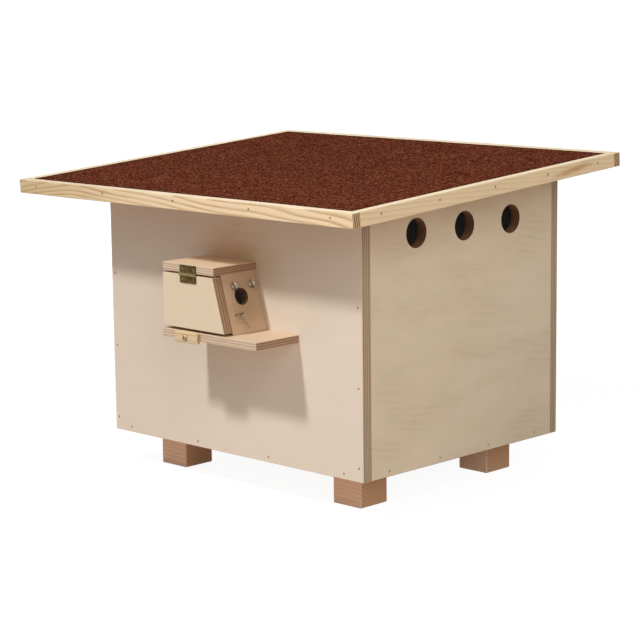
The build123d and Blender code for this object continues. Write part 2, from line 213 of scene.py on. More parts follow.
class NestBoxSizes(bpy.types.PropertyGroup):
    """Sizes of the finishes and of the small pieces."""

    granule: length("Felt granule", "Width of one mineral granule on the felt", 1.9 * MM)
    felt_border: length("Felt border", "Width of the dark border where the felt meets the battens", 6 * MM)
    gauze_pitch: length("Gauze pitch", "Distance from wire to wire in the gauze", 2.4 * MM)
    gauze_wire: length("Gauze wire", "Diameter of the gauze's wire", 0.45 * MM)
    eye_wire: length("Eye wire", "Diameter of the screw eyes' wire", 1.6 * MM)
    eye_mouth: angle("Eye mouth", "Gap in the ring of a screw eye", radians(24))
    # The patch above the porch's roof is painted shade, warm as if thrown back by the porch's roof.
    painted_shade_place: share("Tan place", "How far along the porch's roof the tan patch above it lies", 0.6)
    painted_shade_reach: reach("Tan reach", "How far the tan patch above the porch spreads", (0.085, 0.085, 0.052))
    resin_place: share("Resin place", "How far along the right batten the streak of resin lies", 0.83)
    resin_tilt: angle("Resin tilt", "How steeply the streak of resin rises to the rear", radians(7.5))
    resin_reach: reach("Resin reach", "How far the streak of resin spreads", (0.012, 0.042, 0.0055))
    # The front batten is tinted darker towards its left end.
    dark_end_reach: reach("Aged reach", "How far the front batten's aged end spreads", (0.27, 1.0, 1.0))
    # Painted highlight: a band round the hinge's pin where its knuckles are lightened.
    hinge_highlight_reach: reach("Hinge rub", "How far from its pin the hinge is rubbed", (1.0, 3.6 * MM, 3.6 * MM))
    flap_margin: length("Flap margin", "Width of the clear flap's border that has no holes", 2.2 * MM)
    prop_wire: length("Prop wire", "Diameter of the wire that props the flap open", 1.2 * MM)
    pine_ring: length("Pine ring", "Distance between growth rings in the battens", 2.7 * MM)
    foot_ring: length("Foot ring", "Distance between growth rings in the feet and the latch", 4.2 * MM)
    round_sides: whole("Round sides", "Sides of turned heads and bent wires", 20)


class NestBoxColours(bpy.types.PropertyGroup):
    """Linear colours of the finishes. A tint is what is left of the colour under it."""

    veneer_light: colour("Veneer, light", "Face of the front and the rear", (0.775, 0.68, 0.572))
    veneer_side: colour("Veneer, side", "Face of the two side panels and the door", (0.79, 0.665, 0.50))
    veneer_warm: colour("Veneer, warm", "Yellower face of the shelf and the floor", (0.79, 0.61, 0.43))
    veneer_porch: colour("Veneer, porch", "Paler face of the porch's roof", (0.90, 0.71, 0.50))
    veneer_deep: colour("Veneer, deep", "Browner face of the porch's walls", (0.605, 0.412, 0.265))
    veneer_roof: colour("Veneer, roof", "Browner face of the roof's board", (0.52, 0.28, 0.13))
    veneer_patch: colour("Veneer patch", "Tint of the greener patches in a face", (0.965, 0.985, 0.945))
    veneer_streak: colour("Veneer streak", "Tint of the darkest streaks in a face", (0.80, 0.755, 0.70))
    # Painted shade: a warm darkening of the front just above the porch's roof.
    painted_shade_tint: colour("Tan patch", "Tint of the front above the porch", (0.86, 0.69, 0.52))
    ply_light: colour("Ply, light", "Plies that show long grain on an edge", (0.78, 0.62, 0.46))
    ply_dark: colour("Ply, dark", "Plies that show end grain on an edge", (0.34, 0.22, 0.135))
    end_panel: colour("End, panels", "Tint of a panel's edge sawn across the grain", (0.84, 0.84, 0.78))
    end_porch: colour("End, porch", "Tint of a porch board's edge sawn across the grain", (0.66, 0.55, 0.46))
    # The bore colours are painted shade: they darken these boards' edges, chiefly the walls of the drilled
    # vent and flight holes.
    bore_light: colour("Bore, light", "Long-grain plies in a drilled hole, scorched", (0.42, 0.22, 0.105))
    bore_dark: colour("Bore, dark", "End-grain plies in a drilled hole", (0.075, 0.035, 0.016))
    pine_pale: colour("Pine, pale", "Pale part of a growth ring in the front batten", (0.93, 0.745, 0.50))
    # Tint that darkens the front batten towards its left end.
    pine_dark_end: colour("Pine, aged", "Tint of the front batten's left end", (0.75, 0.72, 0.62))
    pine_early: colour("Pine, early", "Pale part of a growth ring in the other battens", (0.84, 0.655, 0.41))
    pine_late: colour("Pine, late", "Dark part of a growth ring in the battens", (0.49, 0.295, 0.11))
    resin: colour("Resin", "Tint of the right batten in its streak of resin", (0.66, 0.46, 0.26))
    foot_early: colour("Foot, early", "Pale part of a growth ring in the feet", (0.92, 0.64, 0.45))
    foot_late: colour("Foot, late", "Dark part of a growth ring in the feet", (0.45, 0.19, 0.025))
    latch_early: colour("Latch, early", "Pale part of a growth ring in the latch", (0.74, 0.58, 0.36))
    latch_late: colour("Latch, late", "Dark part of a growth ring in the latch", (0.50, 0.34, 0.17))
    granule_dark: colour("Granule, dark", "Darkest granules of the felt", (0.060, 0.0145, 0.0072))
    granule_light: colour("Granule, light", "Lightest granules of the felt", (0.40, 0.108, 0.055))
    granule_fresh: colour("Granule, fresh", "Few granules that are newly broken", (0.36, 0.14, 0.085))
    # Colour of the felt's darker border along the battens.
    felt_rim_dark: colour("Bitumen", "Bare bitumen where the felt meets the battens", (0.014, 0.008, 0.006))
    brass: colour("Brass", "Brass of the hinge under its film", (0.176, 0.113, 0.031))
    # Painted highlight on the hinge's knuckles.
    brass_painted_highlight: colour("Brass, rubbed", "Brass rubbed bright on the hinge's knuckles", (0.52, 0.43, 0.21))
    brass_tarnish: colour("Brass, tarnished", "Dull film on the brass", (0.033, 0.021, 0.006))
    screw_brass: colour("Screw brass", "Heads of the hinge's screws", (0.24, 0.18, 0.075))
    steel: colour("Steel", "Bright zinc-plated steel", (0.62, 0.62, 0.60))
    steel_dull: colour("Steel, dull", "Grey film on the steel", (0.20, 0.19, 0.18))
    nail: colour("Nail", "Bright part of a nail's head", (0.46, 0.34, 0.22))
    nail_dull: colour("Nail, dull", "Dark film on a nail's head", (0.24, 0.165, 0.10))
    gauze: colour("Gauze", "Dark lacquer on the gauze", (0.030, 0.036, 0.044))
    gauze_worn: colour("Gauze, worn", "Lacquer worn thin on the gauze", (0.085, 0.095, 0.105))
    acrylic: colour("Acrylic", "Tint of the clear flap", (0.985, 0.985, 0.98))
    acrylic_edge: colour("Acrylic edge", "Sawn and frosted edge of the clear flap", (0.74, 0.72, 0.68))
    # Painted shade: the dark brown on the walls of the flap's drilled holes.
    acrylic_bore_shade: colour("Acrylic bore", "Dirt in the clear flap's drilled holes", (0.11, 0.055, 0.022))


class NestBoxStudio(bpy.types.PropertyGroup):
    """Camera, light and floor."""

    camera_place: reach("Camera place", "Where the camera stands", (1.6383, -1.6729, 0.5774))
    camera_heading: angle("Heading", "Turn of the camera's view from +Y towards -X", radians(44.344))
    camera_dip: angle("Dip", "Tilt of the camera's view below the horizon", radians(9.797))
    camera_roll: angle("Roll", "Turn of the camera about its view", radians(0.677))
    lens: focus("Lens", "Focal length of the camera", 117.64)
    key_place: reach("Key place", "Where the key lamp hangs", (-0.06, -1.08, 1.36))
    key_power: power("Key power", "Power of the key lamp", 25)
    key_radius: length("Key radius", "Radius of the key lamp", 0.08)
    key_colour: colour("Key colour", "Colour of the key light", (1.0, 0.985, 0.965))
    fill_place: reach("Fill place", "Where the soft light on the right stands", (1.95, -1.0, 1.4))
    fill_power: power("Fill power", "Power of the soft light on the right", 28)
    rear_place: reach("Rear place", "Where the soft light behind stands", (-1.9, 1.5, 0.7))
    rear_power: power("Rear power", "Power of the soft light behind", 20)
    fill_side: length("Fill size", "Side of a soft light's square", 1.8)
    sky_strength: share("Sky strength", "Light that comes from all round", 0.175)
    sky_colour: colour("Sky", "Colour of the light from all round", (0.94, 0.97, 1.0))
    floor_side: length("Floor size", "Side of the floor's square", 60.0)
    floor_colour: colour("Floor", "Colour that the floor throws back", (0.62, 0.50, 0.42))
    floor_glow: share("Floor glow", "Plain white in the floor that is seen near the part", 0.93)
    floor_near: length("Floor near", "Distance from the part up to which the floor takes a shadow", 0.8)
    floor_far: length("Floor far", "Distance from the part from which the floor is plain white", 2.5)
    floor_shade: colour("Floor shade", "What the floor takes of light and shadow", (0.16, 0.16, 0.16))


def rgba(value):
    """Colour property as a socket takes it."""
    return (*value, 1.0)


def paint(name):
    """Colour of the settings by its name, as a socket takes it."""
    return rgba(getattr(bpy.context.scene.nest_box_colours, name))


def feed(tree, node, inputs):
    """Gives each input of a node a value or a link."""
    for key, value in inputs.items():
        if isinstance(value, bpy.types.NodeSocket):
            tree.links.new(value, node.inputs[key])
        else:
            node.inputs[key].default_value = value


def put(tree, kind, inputs=None, **options):
    """Adds a node, sets its options and feeds its inputs."""
    node = tree.nodes.new(kind)
    for name, value in options.items():
        setattr(node, name, value)
    feed(tree, node, inputs or {})
    return node


def maths(tree, operation, first, second=0.0, third=0.0, clamp=False):
    """Result of one sum on numbers or sockets."""
    inputs = {0: first, 1: second, 2: third}
    return put(tree, "ShaderNodeMath", inputs, operation=operation, use_clamp=clamp).outputs[0]


def vector_maths(tree, operation, first, second=(0, 0, 0)):
    """Result of one sum on vectors."""
    node = put(tree, "ShaderNodeVectorMath", {0: first, 1: second}, operation=operation)
    return node.outputs["Value" if operation in ("DOT_PRODUCT", "LENGTH") else "Vector"]


def blended(tree, amount, first, second, blend="MIX"):
    """Two colours mixed by an amount."""
    node = put(tree, "ShaderNodeMix", {0: amount, 6: first, 7: second}, data_type="RGBA", blend_type=blend)
    return node.outputs[2]


def tinted(tree, amount, base, tinge):
    """A colour multiplied by another, as far as an amount says."""
    return blended(tree, amount, base, tinge, "MULTIPLY")


def ramped(tree, value, low, high, to_low=0.0, to_high=1.0):
    """Value eased from one range to another."""
    inputs = {"Value": value, "From Min": low, "From Max": high, "To Min": to_low, "To Max": to_high}
    return put(tree, "ShaderNodeMapRange", inputs, interpolation_type="SMOOTHSTEP").outputs["Result"]


def swayed(tree, base, value, middle, scale, clamp=False):
    """A base raised or lowered by how far a value lies from its middle."""
    return maths(tree, "MULTIPLY_ADD", maths(tree, "SUBTRACT", value, middle), scale, base, clamp)


def noise(tree, place, stretch, detail=2.0, roughness=0.5):
    """Noise over a place that is first stretched, in cycles per metre on each axis."""
    scaled = vector_maths(tree, "MULTIPLY", place, stretch)
    inputs = {"Vector": scaled, "Scale": 1.0, "Detail": detail, "Roughness": roughness}
    return put(tree, "ShaderNodeTexNoise", inputs).outputs["Fac"]


def part_place(tree):
    """Place of a point in the part's own frame, at rest."""
    return put(tree, "ShaderNodeTexCoord").outputs["Object"]


def axis_of(tree, place, index):
    """One coordinate of a place."""
    return put(tree, "ShaderNodeSeparateXYZ", {0: place}).outputs[index]


def node_of(tree, kind):
    """The first node of a kind in a tree."""
    return next(n for n in tree.nodes if n.type == kind)


def new_group(name, inputs, outputs):
    """Empty shader node group with named sockets. Returns it, what it is given, and its output node."""
    group = bpy.data.node_groups.new(name, "ShaderNodeTree")
    for way, sockets in (("INPUT", inputs), ("OUTPUT", outputs)):
        for socket, kind in sockets:
            group.interface.new_socket(name=socket, in_out=way, socket_type=kind)
    return group, group.nodes.new("NodeGroupInput").outputs, group.nodes.new("NodeGroupOutput")


def board_place_group():
    """Place of a point on a board: along its grain, across it and through it, and how square it faces."""
    axes = ("Grain", "Across", "Through")
    inputs = [(name, VECTOR) for name in ("Corner", *axes)]
    outputs = (("Place", VECTOR), ("Facing", FLOAT), ("End", FLOAT))
    group, given, sink = new_group("Board place", inputs, outputs)
    where = put(group, "ShaderNodeTexCoord").outputs
    offset = vector_maths(group, "SUBTRACT", where["Object"], given["Corner"])
    along = {i: vector_maths(group, "DOT_PRODUCT", offset, given[name]) for i, name in enumerate(axes)}
    through = vector_maths(group, "DOT_PRODUCT", where["Normal"], given["Through"])
    grain = vector_maths(group, "DOT_PRODUCT", where["Normal"], given["Grain"])
    feed(group, sink, {
        "Place": put(group, "ShaderNodeCombineXYZ", along).outputs[0],
        "Facing": maths(group, "ABSOLUTE", through),
        "End": maths(group, "ABSOLUTE", grain),
    })
    return group


def plywood_group():
    """Birch plywood: rotary-cut veneer on the faces, and stripes of plies on the sawn edges."""
    inputs = [("Place", VECTOR)]
    inputs += [(name, FLOAT) for name in ("Facing", "End", "Thickness", "Plies", "Seed", "Figure")]
    inputs += [(name, COLOUR) for name in ("Veneer", "Patch", "Streak", "Ply light", "Ply dark", "End tint")]
    group, given, sink = new_group("Birch plywood", inputs, FINISH)
    board = given["Place"]
    seed = put(group, "ShaderNodeCombineXYZ", {0: given["Seed"], 1: given["Seed"]}).outputs[0]
    place = vector_maths(group, "ADD", board, seed)

    # Face: thin wavy lines that come and go, greener patches, fibres and short dark flecks
    across = vector_maths(group, "DOT_PRODUCT", place, (VENEER_LEAN, 1.0, 0.0))
    sway = maths(group, "MULTIPLY", noise(group, place, (3.4, 9, 0), detail=3), VENEER_SWAY)
    turn = maths(group, "FRACT", maths(group, "MULTIPLY_ADD", across, VENEER_LINES, sway))
    lines = maths(group, "MULTIPLY", ramped(group, turn, 0.4, 0.93), ramped(group, turn, 1.0, 0.93))
    cloud = noise(group, place, (9, 26, 0), detail=3, roughness=0.6)
    patch = ramped(group, noise(group, place, (24, 46, 0), roughness=0.6), 0.38, 0.62)
    fibre = noise(group, place, (60, 1500, 0), roughness=0.6)
    fleck = ramped(group, noise(group, place, (240, 2300, 0), detail=1), 0.66, 0.76)
    streak = maths(group, "MULTIPLY", lines, ramped(group, cloud, 0.5, 0.72, 0.0, 0.34))
    streak = maths(group, "ADD", streak, ramped(group, cloud, 0.3, 0.7, 0.0, 0.28))
    streak = maths(group, "MULTIPLY_ADD", fibre, 0.2, streak)
    streak = maths(group, "MULTIPLY_ADD", fleck, 0.3, streak)
    face = given["Veneer"]
    for amount, name in ((streak, "Streak"), (patch, "Patch")):
        amount = maths(group, "MULTIPLY", amount, given["Figure"], clamp=True)
        face = tinted(group, amount, face, given[name])

    # Edge: plies that turn by turn show long grain and end grain, with glue lines between
    depth = maths(group, "DIVIDE", axis_of(group, board, 2), given["Thickness"], clamp=True)
    level = maths(group, "MULTIPLY", depth, given["Plies"])
    top_ply = maths(group, "SUBTRACT", given["Plies"], 1.0)
    index = maths(group, "MINIMUM", maths(group, "FLOOR", level), top_ply)
    cross = maths(group, "MODULO", index, 2.0)
    chance = put(group, "ShaderNodeTexWhiteNoise", {"W": maths(group, "ADD", index, given["Seed"])},
                 noise_dimensions="1D").outputs["Value"]
    glue = maths(group, "ABSOLUTE", maths(group, "SUBTRACT", maths(group, "FRACT", level), 0.5))
    grain = noise(group, board, (120, 120, 1300), roughness=0.55)
    pores = ramped(group, noise(group, board, (1400, 1400, 1400), detail=1), 0.58, 0.7)
    across_grain = ramped(group, given["End"], 0.6, 0.95)
    darkness = maths(group, "MULTIPLY_ADD", cross, 0.5, maths(group, "MULTIPLY", chance, 0.2))
    darkness = maths(group, "MULTIPLY_ADD", ramped(group, glue, 0.38, 0.5), 0.2, darkness)
    darkness = maths(group, "MULTIPLY_ADD", across_grain, 0.3, darkness)
    darkness = swayed(group, darkness, grain, 0.5, 0.35, clamp=True)
    pores = maths(group, "MULTIPLY", pores, cross)
    darkness = maths(group, "MULTIPLY_ADD", pores, 0.25, darkness, clamp=True)
    edge = blended(group, darkness, given["Ply light"], given["Ply dark"])
    edge = tinted(group, across_grain, edge, given["End tint"])

    is_face = ramped(group, given["Facing"], 0.75, 0.95)
    edge_height = maths(group, "SUBTRACT", grain, maths(group, "MULTIPLY", cross, 0.5))
    face_height = maths(group, "SUBTRACT", fibre, maths(group, "MULTIPLY", fleck, 0.6))
    height = put(group, "ShaderNodeMix", {0: is_face, 2: edge_height, 3: face_height}, data_type="FLOAT")
    feed(group, sink, {
        "Color": blended(group, is_face, edge, face),
        "Height": height.outputs[0],
        "Roughness": ramped(group, fibre, 0.2, 0.8, 0.52, 0.68),
    })
    return group


def growth_ring_group():
    """Solid softwood: growth rings about a pith beside the bar, which may drift and swerve along it."""
    numbers = ("End", "Ring", "Waver", "Run-out", "Drift", "Swerve", "Swerve place", "Figure", "End share",
               "End figure")
    inputs = [(name, VECTOR) for name in ("Place", "Pith")]
    inputs += [(name, FLOAT) for name in numbers]
    inputs += [(name, COLOUR) for name in ("Early", "Late")]
    group, given, sink = new_group("Growth rings", inputs, FINISH)
    place = given["Place"]
    along = axis_of(group, place, 0)

    # Rings: how far a point lies from the pith, with a little sway
    from_swerve = maths(group, "SUBTRACT", along, given["Swerve place"])
    bow = maths(group, "SQRT", maths(group, "MULTIPLY_ADD", from_swerve, from_swerve, SWERVE_BEND ** 2))
    drift = maths(group, "MULTIPLY", along, given["Drift"])
    drift = maths(group, "MULTIPLY_ADD", bow, given["Swerve"], drift)
    drift = put(group, "ShaderNodeCombineXYZ", {1: drift}).outputs[0]
    from_pith = vector_maths(group, "SUBTRACT", place, vector_maths(group, "ADD", given["Pith"], drift))
    radius = vector_maths(group, "LENGTH", vector_maths(group, "MULTIPLY", from_pith, (0.0, 1.0, 1.0)))
    radius = swayed(group, radius, noise(group, place, (3.5, 15, 15), roughness=0.45), 0.5, given["Waver"])
    radius = maths(group, "MULTIPLY_ADD", along, given["Run-out"], radius)
    turn = maths(group, "FRACT", maths(group, "DIVIDE", radius, given["Ring"]))
    late = maths(group, "MULTIPLY", ramped(group, turn, 0.35, 0.9), ramped(group, turn, 1.0, 0.92))

    # Sides: rings that come and go, with fibres
    fibre = noise(group, place, (45, 1700, 1700), detail=3, roughness=0.6)
    cloud = noise(group, place, (11, 60, 60))
    amount = maths(group, "MULTIPLY", late, ramped(group, cloud, 0.3, 0.65, 0.45, 1.0))
    amount = swayed(group, amount, fibre, 0.45, 0.35)
    amount = maths(group, "MULTIPLY", amount, given["Figure"], clamp=True)
    wood = blended(group, amount, given["Early"], given["Late"])

    # Sawn ends: darker wood with deeper rings
    deep = tinted(group, 1.0, given["Late"], blended(group, 0.5, given["Late"], BLACK))
    base = blended(group, given["End share"], given["Early"], given["Late"])
    end = blended(group, maths(group, "MULTIPLY", late, given["End figure"], clamp=True), base, deep)
    feed(group, sink, {
        "Color": blended(group, ramped(group, given["End"], 0.6, 0.95), wood, end),
        "Height": maths(group, "MULTIPLY_ADD", late, 0.5, fibre),
        "Roughness": ramped(group, fibre, 0.2, 0.8, 0.5, 0.66),
    })
    return group


def metal_film_group():
    """Dull film on metal, in cloudy patches with specks and fine scratches."""
    inputs = (("Clean", COLOUR), ("Film", COLOUR), ("Cover", FLOAT), ("Grain", FLOAT))
    group, given, sink = new_group("Metal film", inputs, FINISH)
    place = part_place(group)
    cloud = noise(group, place, (190, 190, 190), detail=4, roughness=0.65)
    speck = noise(group, place, (1500, 1500, 1500))
    scratch = noise(group, place, (160, 4200, 4200), detail=1)
    film = maths(group, "ADD", ramped(group, cloud, 0.25, 0.75, -0.35, 0.35), given["Cover"])
    film = swayed(group, film, speck, 0.5, given["Grain"], clamp=True)
    feed(group, sink, {
        "Color": blended(group, film, given["Clean"], given["Film"]),
        "Roughness": ramped(group, film, 0.0, 1.0, 0.24, 0.62),
        "Height": maths(group, "ADD", scratch, speck),
    })
    return group


def stain_or_light_group():
    """Where a soft stain or painted shade or highlight lies: round a place, tilted about X, with an uneven
    rim.
    """
    inputs = (("Middle", VECTOR), ("Spread", VECTOR), ("Tilt", FLOAT))
    group, given, sink = new_group("Soft stain", inputs, (("Amount", FLOAT),))
    place = part_place(group)
    offset = vector_maths(group, "SUBTRACT", place, given["Middle"])
    level = put(group, "ShaderNodeVectorRotate", {"Vector": offset, "Angle": given["Tilt"]},
                rotation_type="X_AXIS", invert=True).outputs[0]
    away = vector_maths(group, "LENGTH", vector_maths(group, "DIVIDE", level, given["Spread"]))
    rim = noise(group, place, (22, 22, 110), detail=4, roughness=0.6)
    away = maths(group, "MULTIPLY_ADD", rim, PATCH_UNEVEN, away)
    feed(group, sink, {"Amount": ramped(group, away, 1 + PATCH_UNEVEN / 2, PATCH_UNEVEN / 2)})
    return group


def saw_mark_group():
    """Marks of a tool on cut acrylic, between which some of the clear sheet shows."""
    group, given, sink = new_group("Saw marks", (("Cut", COLOUR), ("Clear", COLOUR)), FINISH[:2])
    saw = noise(group, part_place(group), SAW_MARKS, detail=3)
    clear = ramped(group, saw, 0.35, 0.7, 0.0, 0.3)
    feed(group, sink, {
        "Color": blended(group, clear, given["Cut"], given["Clear"]),
        "Roughness": ramped(group, saw, 0.3, 0.7, 0.35, 0.6),
    })
    return group


def grouped(tree, make, name, inputs):
    """Node for a group, which is built the first time that it is asked for."""
    return put(tree, "ShaderNodeGroup", inputs, node_tree=bpy.data.node_groups.get(name) or make())


def new_material(name):
    """Material with a bare shader. Returns it, its tree and the shader."""
    material = bpy.data.materials.new(name)
    material.use_nodes = True
    tree = material.node_tree
    tree.nodes.clear()
    shader = put(tree, "ShaderNodeBsdfPrincipled")
    put(tree, "ShaderNodeOutputMaterial", {"Surface": shader.outputs[0]})
    return material, tree, shader


def mix_surface(tree, amount, first, second):
    """Shows two shaders mixed by an amount."""
    mix = put(tree, "ShaderNodeMixShader", {0: amount, 1: first.outputs[0], 2: second.outputs[0]})
    feed(tree, node_of(tree, "OUTPUT_MATERIAL"), {"Surface": mix.outputs[0]})


def finish_with(tree, shader, finish, depth, strength):
    """Takes colour, roughness and relief from a group's node."""
    bump = {"Strength": strength, "Distance": depth, "Height": finish.outputs["Height"]}
    feed(tree, shader, {
        "Base Color": finish.outputs["Color"],
        "Roughness": finish.outputs["Roughness"],
        "Normal": put(tree, "ShaderNodeBump", bump).outputs["Normal"],
    })


def cad_mesh(node):
    """Mesh of a CAD node."""
    return frame["nodes"][node].data


def shade(mesh, sharp):
    """Shades round faces round, and keeps edges that turn by more than an angle sharp."""
    mesh.shade_smooth()
    mesh.set_sharp_from_angle(angle=sharp)


def dress(node, material):
    """Gives a CAD node its finish."""
    mesh = cad_mesh(node)
    mesh.materials.clear()
    mesh.materials.append(material)
    shade(mesh, SHARP_CAD)


def broad_normal(node):
    """Way that the largest face of a CAD node looks."""
    return max(cad_mesh(node).polygons, key=lambda face: face.area).normal.copy()


def axes_of(node, grain_hint):
    """Corner, grain, across, through and thickness of a board, read from its largest face."""
    through = broad_normal(node)
    if through.dot(X_AXIS + Y_AXIS + Z_AXIS) < 0:
        through.negate()
    grain = (grain_hint - through * grain_hint.dot(through)).normalized()
    across = through.cross(grain)
    points = [v.co for v in cad_mesh(node).vertices]
    lows = [min(p.dot(axis) for p in points) for axis in (grain, across, through)]
    thickness = max(p.dot(through) for p in points) - lows[2]
    corner = grain * lows[0] + across * lows[1] + through * lows[2]
    return corner, grain, across, through, thickness


def board_place(tree, axes):
    """What a board's group gives about a point: its place, and how square it faces."""
    values = dict(zip(("Corner", "Grain", "Across", "Through"), axes))
    return grouped(tree, board_place_group, "Board place", values).outputs


def plywood_material(node, grain_hint, plies, face, figure, edge, seed):
    """Birch plywood for one board, with its sawn or its drilled edges in view."""
    material, tree, shader = new_material(f"plywood_{node}")
    axes = axes_of(node, grain_hint)
    place = board_place(tree, axes)
    finish = grouped(tree, plywood_group, "Birch plywood", {
        "Place": place["Place"], "Facing": place["Facing"], "End": place["End"],
        "Thickness": axes[-1], "Plies": plies, "Seed": seed, "Figure": figure,
        "Veneer": paint(face), "Patch": paint("veneer_patch"), "Streak": paint("veneer_streak"),
        "Ply light": paint(f"{edge}_light"), "Ply dark": paint(f"{edge}_dark"),
        "End tint": paint("end_porch" if node.startswith("porch_") else "end_panel"),
    })
    finish_with(tree, shader, finish, depth=0.12 * MM, strength=0.35)
    return material


def softwood_material(name, node, grain_hint, early, late, ring, pith, values):
    """Planed softwood for one bar: its colours, ring spacing and pith, and what else its rings take."""
    material, tree, shader = new_material(name)
    place = board_place(tree, axes_of(node, grain_hint))
    finish = grouped(tree, growth_ring_group, "Growth rings", {
        "Place": place["Place"], "End": place["End"], "Early": paint(early), "Late": paint(late),
        "Ring": ring, "Pith": (0, *pith), **values,
    })
    finish_with(tree, shader, finish, depth=0.15 * MM, strength=0.4)
    return material


def stain_or_painted_light(material, middle, spread, colour_name, tilt=0.0, blend="MULTIPLY"):
    """Adds a soft stain, or a patch of painted shade or highlight, to a finish."""
    tree = material.node_tree
    shader = node_of(tree, "BSDF_PRINCIPLED")
    clean = shader.inputs["Base Color"].links[0].from_socket
    where = grouped(tree, stain_or_light_group, "Soft stain", {"Middle": middle, "Spread": spread, "Tilt": tilt})
    patched = blended(tree, where.outputs["Amount"], clean, paint(colour_name), blend)
    feed(tree, shader, {"Base Color": patched})


def metal(name):
    """Metal under a dull film, made the first time that it is asked for."""
    made = bpy.data.materials.get(name)
    if made:
        return made
    material, tree, shader = new_material(name)
    clean, film, cover, grain = METALS[name]
    inputs = {"Clean": paint(clean), "Film": paint(film), "Cover": cover, "Grain": grain}
    feed(tree, shader, {"Metallic": 1.0})
    finish = grouped(tree, metal_film_group, "Metal film", inputs)
    finish_with(tree, shader, finish, depth=0.04 * MM, strength=0.3)
    return material


def felt_material(sizes):
    """Bitumen felt under mineral granules of many browns."""
    material, tree, shader = new_material("granule_felt")
    place = part_place(tree)
    inputs = {"Vector": place, "Scale": 1 / sizes.granule, "Randomness": 1.0}
    cells = put(tree, "ShaderNodeTexVoronoi", inputs)
    gap = cells.outputs["Distance"]
    chance = put(tree, "ShaderNodeSeparateColor", {0: cells.outputs["Color"]}).outputs[0]

    # Granules, a few of them newly broken, with dark crevices between
    cloud = noise(tree, place, (26, 26, 26), detail=4, roughness=0.6)
    fine = noise(tree, place, (900, 900, 900))
    amount = swayed(tree, maths(tree, "POWER", chance, 1.7), cloud, 0.5, 0.35)
    amount = swayed(tree, amount, fine, 0.5, 0.3, clamp=True)
    felt = blended(tree, amount, paint("granule_dark"), paint("granule_light"))
    felt = blended(tree, ramped(tree, chance, 0.93, 0.97), felt, paint("granule_fresh"))
    crevice = maths(tree, "MULTIPLY", ramped(tree, gap, 0.35, 0.75), 0.55)
    felt = blended(tree, crevice, felt, paint("granule_dark"))

    # Darker border along the battens
    low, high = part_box("roof_felt")
    offset = vector_maths(tree, "ABSOLUTE", vector_maths(tree, "SUBTRACT", place, (low + high) / 2))
    inset = vector_maths(tree, "SUBTRACT", (high - low) / 2, offset)
    inset = maths(tree, "MINIMUM", axis_of(tree, inset, 0), axis_of(tree, inset, 1))
    felt = blended(tree, ramped(tree, inset, sizes.felt_border, 0.0), felt, paint("felt_rim_dark"))

    height = maths(tree, "MULTIPLY_ADD", chance, 0.6, maths(tree, "SUBTRACT", 1.0, gap))
    bump = put(tree, "ShaderNodeBump", {"Strength": 0.75, "Distance": sizes.granule / 2, "Height": height})
    feed(tree, shader, {
        "Base Color": felt,
        "Roughness": ramped(tree, chance, 0.0, 1.0, 0.95, 0.7),
        "Normal": bump.outputs["Normal"],
        "Specular IOR Level": 0.0,
    })
    return material


def show_through(tree, shader, cover):
    """Lets what lies behind the clear flap show where a shader doesn't cover it."""
    clear = put(tree, "ShaderNodeBsdfTransparent", {"Color": paint("acrylic")})
    mix_surface(tree, cover, clear, shader)


def acrylic_material():
    """Clear acrylic: a sheet that shows what lies behind it, under a faint gloss with smears."""
    material, tree, shader = new_material("clear_acrylic")
    smear = noise(tree, part_place(tree), (60, 240, 60), detail=4, roughness=0.6)
    feed(tree, shader, {
        "Base Color": paint("acrylic"),
        "Metallic": 1.0,
        "Roughness": ramped(tree, smear, 0.45, 0.75, 0.02, 0.2),
    })
    show_through(tree, shader, put(tree, "ShaderNodeFresnel", {"IOR": GLOSS_IOR}).outputs[0])
    return material


def frosted_or_shaded_material(name, colour_name, cover):
    """Cut acrylic, frosted by the tool or given painted shade in holes, which covers about a given share of
    what lies behind.
    """
    material, tree, shader = new_material(name)
    inputs = {"Cut": paint(colour_name), "Clear": paint("acrylic")}
    marks = grouped(tree, saw_mark_group, "Saw marks", inputs).outputs
    feed(tree, shader, {"Base Color": marks["Color"], "Roughness": marks["Roughness"]})
    saw = noise(tree, part_place(tree), SAW_MARKS, detail=3)
    show_through(tree, shader, ramped(tree, saw, 0.3, 0.7, 0.7 * cover, 1.3 * cover))
    return material


def gauze_material():
    """Dark lacquered wire, worn in places."""
    material, tree, shader = new_material("dark_gauze")
    wear = ramped(tree, noise(tree, part_place(tree), (500, 500, 500), detail=3), 0.5, 0.7)
    feed(tree, shader, {
        "Base Color": blended(tree, wear, paint("gauze"), paint("gauze_worn")),
        "Roughness": ramped(tree, wear, 0.0, 1.0, 0.62, 0.42),
        "Metallic": 0.4,
    })
    return material


def seen_directly(tree):
    """1 where a ray comes from the camera, from a gloss or through glass, and otherwise 0."""
    path = put(tree, "ShaderNodeLightPath").outputs
    seen = maths(tree, "MAXIMUM", path["Is Camera Ray"], path["Is Glossy Ray"])
    return maths(tree, "MAXIMUM", seen, path["Is Transmission Ray"])


def floor_material(studio):
    """Pale floor that takes a soft shadow near the part, and is seen as white."""
    material, tree, shader = new_material("floor_white")
    feed(tree, shader, {
        "Base Color": rgba(studio.floor_colour),
        "Roughness": 0.9,
        "Specular IOR Level": 0.0,
    })
    away = vector_maths(tree, "LENGTH", part_place(tree))
    glow = ramped(tree, away, studio.floor_near, studio.floor_far, studio.floor_glow, 1.0)
    white = put(tree, "ShaderNodeEmission", {"Strength": glow})
    shadow = put(tree, "ShaderNodeBsdfDiffuse", {"Color": rgba(studio.floor_shade)})
    pale = put(tree, "ShaderNodeAddShader", {0: white.outputs[0], 1: shadow.outputs[0]})
    mix_surface(tree, seen_directly(tree), shader, pale)
    return material


def added(name, data):
    """New object in the scene."""
    thing = bpy.data.objects.new(name, data)
    bpy.context.scene.collection.objects.link(thing)
    return thing


